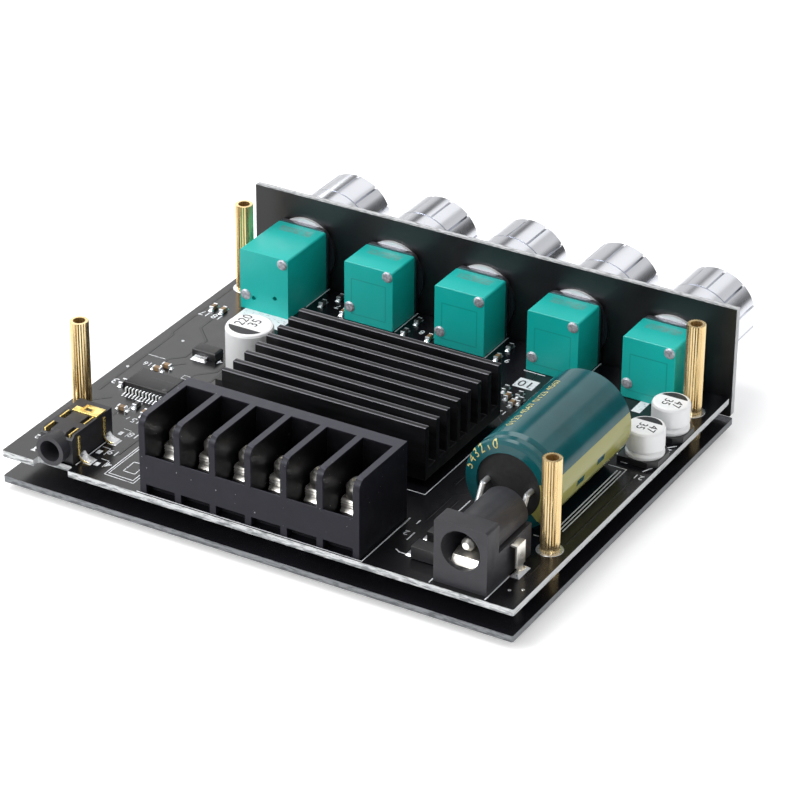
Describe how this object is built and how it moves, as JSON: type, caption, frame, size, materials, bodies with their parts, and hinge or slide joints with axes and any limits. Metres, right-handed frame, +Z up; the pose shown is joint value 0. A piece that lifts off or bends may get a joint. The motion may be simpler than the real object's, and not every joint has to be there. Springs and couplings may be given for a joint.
{
  "type": "audio amplifier board",
  "caption": "Open audio amplifier board with screw terminals, finned heatsink, barrel power socket, lying capacitor and fluted chrome knobs on an upright panel.",
  "frame": {"origin": "middle of the footprint on the table, under the base screws", "axes": "+X to the right seen from the terminals, +Y from the terminals towards the knobs, +Z up"},
  "size_m": [0.0918, 0.091, 0.023],
  "materials": {
    "board_laminate": "satin solder-mask black",
    "brass": "turned brass",
    "steel": "zinc plated",
    "terminal_plastic": "moulded satin",
    "plated_metal": "bright tin plate",
    "socket_plastic": "moulded satin",
    "gold": "gold plated",
    "heatsink_black": "black anodised",
    "chip_plastic": "moulded epoxy",
    "pad_grey": "soft pad",
    "capacitor_sleeve": "shrink sleeve",
    "rubber": "matt",
    "tinned_wire": "tinned",
    "can_aluminium": "satin can",
    "ceramic_tan": "ceramic body, tinned ends",
    "bushing_metal": "dark zinc",
    "washer_metal": "bright plate",
    "pot_teal": "moulded teal",
    "chrome": "chrome plated, fluted"
  },
  "bodies": {
    "root": {"amplifier_chips": "chip_plastic", "base_plate": "board_laminate", "bushing_nuts": "steel", "bushings": "bushing_metal", "capacitor_bases": "chip_plastic", "ceramic_capacitors": "ceramic_tan", "chip_resistors": "chip_plastic", "decoder_chip": "chip_plastic", "diodes": "chip_plastic", "front_panel": "board_laminate", "heatsink": "heatsink_black", "heatsink_screws": "steel", "input_socket_contacts": "gold", "input_socket_housing": "socket_plastic", "main_board": "board_laminate", "main_capacitor": "capacitor_sleeve", "main_capacitor_bung": "rubber", "main_capacitor_leads": "tinned_wire", "potentiometer_1": "pot_teal", "potentiometer_2": "pot_teal", "potentiometer_3": "pot_teal", "potentiometer_4": "pot_teal", "potentiometer_5": "pot_teal", "potentiometer_pins": "tinned_wire", "power_socket_contacts": "plated_metal", "power_socket_housing": "socket_plastic", "power_socket_pin": "plated_metal", "rivets": "steel", "small_capacitors": "can_aluminium", "spacers": "brass", "stack_screws": "steel", "standoffs": "brass", "tall_capacitor": "can_aluminium", "terminal_block": "terminal_plastic", "terminal_contacts": "plated_metal", "thermal_pads": "pad_grey", "voltage_regulator": "chip_plastic", "washers": "washer_metal"},
    "control_1": {"shaft_1": "brass", "knob_1": "chrome"},
    "control_2": {"shaft_2": "brass", "knob_2": "chrome"},
    "control_3": {"shaft_3": "brass", "knob_3": "chrome"},
    "control_4": {"shaft_4": "brass", "knob_4": "chrome"},
    "control_5": {"shaft_5": "brass", "knob_5": "chrome"},
    "clamp_1": {"terminal_clamp_1": "plated_metal"},
    "screw_1": {"terminal_screw_1": "plated_metal"},
    "clamp_2": {"terminal_clamp_2": "plated_metal"},
    "screw_2": {"terminal_screw_2": "plated_metal"},
    "clamp_3": {"terminal_clamp_3": "plated_metal"},
    "screw_3": {"terminal_screw_3": "plated_metal"},
    "clamp_4": {"terminal_clamp_4": "plated_metal"},
    "screw_4": {"terminal_screw_4": "plated_metal"},
    "clamp_5": {"terminal_clamp_5": "plated_metal"},
    "screw_5": {"terminal_screw_5": "plated_metal"},
    "clamp_6": {"terminal_clamp_6": "plated_metal"},
    "screw_6": {"terminal_screw_6": "plated_metal"}
  },
  "joints": [
    {"name": "turn_control_1", "type": "hinge", "parent": "root", "child": "control_1", "pos_m": [-0.03483, 0.0303, 0.0132], "axis": [0, 1, 0], "range_deg": [-150, 150]},
    {"name": "turn_control_2", "type": "hinge", "parent": "root", "child": "control_2", "pos_m": [-0.01742, 0.0303, 0.0132], "axis": [0, 1, 0], "range_deg": [-150, 150]},
    {"name": "turn_control_3", "type": "hinge", "parent": "root", "child": "control_3", "pos_m": [-0.00003, 0.0303, 0.0132], "axis": [0, 1, 0], "range_deg": [-150, 150]},
    {"name": "turn_control_4", "type": "hinge", "parent": "root", "child": "control_4", "pos_m": [0.01738, 0.0303, 0.0132], "axis": [0, 1, 0], "range_deg": [-150, 150]},
    {"name": "turn_control_5", "type": "hinge", "parent": "root", "child": "control_5", "pos_m": [0.03478, 0.0303, 0.0132], "axis": [0, 1, 0], "range_deg": [-150, 150]},
    {"name": "lift_clamp_1", "type": "slide", "parent": "root", "child": "clamp_1", "axis": [0, 0, 1], "range_m": [0, 0.0025]},
    {"name": "turn_screw_1", "type": "hinge", "parent": "clamp_1", "child": "screw_1", "pos_m": [-0.01632, -0.038, 0.0136], "axis": [0, 0, 1], "range_deg": [0, 1800]},
    {"name": "lift_clamp_2", "type": "slide", "parent": "root", "child": "clamp_2", "axis": [0, 0, 1], "range_m": [0, 0.0025]},
    {"name": "turn_screw_2", "type": "hinge", "parent": "clamp_2", "child": "screw_2", "pos_m": [-0.00997, -0.038, 0.0136], "axis": [0, 0, 1], "range_deg": [0, 1800]},
    {"name": "lift_clamp_3", "type": "slide", "parent": "root", "child": "clamp_3", "axis": [0, 0, 1], "range_m": [0, 0.0025]},
    {"name": "turn_screw_3", "type": "hinge", "parent": "clamp_3", "child": "screw_3", "pos_m": [-0.00363, -0.038, 0.0136], "axis": [0, 0, 1], "range_deg": [0, 1800]},
    {"name": "lift_clamp_4", "type": "slide", "parent": "root", "child": "clamp_4", "axis": [0, 0, 1], "range_m": [0, 0.0025]},
    {"name": "turn_screw_4", "type": "hinge", "parent": "clamp_4", "child": "screw_4", "pos_m": [0.00272, -0.038, 0.0136], "axis": [0, 0, 1], "range_deg": [0, 1800]},
    {"name": "lift_clamp_5", "type": "slide", "parent": "root", "child": "clamp_5", "axis": [0, 0, 1], "range_m": [0, 0.0025]},
    {"name": "turn_screw_5", "type": "hinge", "parent": "clamp_5", "child": "screw_5", "pos_m": [0.00907, -0.038, 0.0136], "axis": [0, 0, 1], "range_deg": [0, 1800]},
    {"name": "lift_clamp_6", "type": "slide", "parent": "root", "child": "clamp_6", "axis": [0, 0, 1], "range_m": [0, 0.0025]},
    {"name": "turn_screw_6", "type": "hinge", "parent": "clamp_6", "child": "screw_6", "pos_m": [0.01542, -0.038, 0.0136], "axis": [0, 0, 1], "range_deg": [0, 1800]}
  ],
  "couplings": [
    {"joint": "turn_screw_1", "follows": "lift_clamp_1", "rad_per_m": 12566},
    {"joint": "turn_screw_2", "follows": "lift_clamp_2", "rad_per_m": 12566},
    {"joint": "turn_screw_3", "follows": "lift_clamp_3", "rad_per_m": 12566},
    {"joint": "turn_screw_4", "follows": "lift_clamp_4", "rad_per_m": 12566},
    {"joint": "turn_screw_5", "follows": "lift_clamp_5", "rad_per_m": 12566},
    {"joint": "turn_screw_6", "follows": "lift_clamp_6", "rad_per_m": 12566}
  ]
}
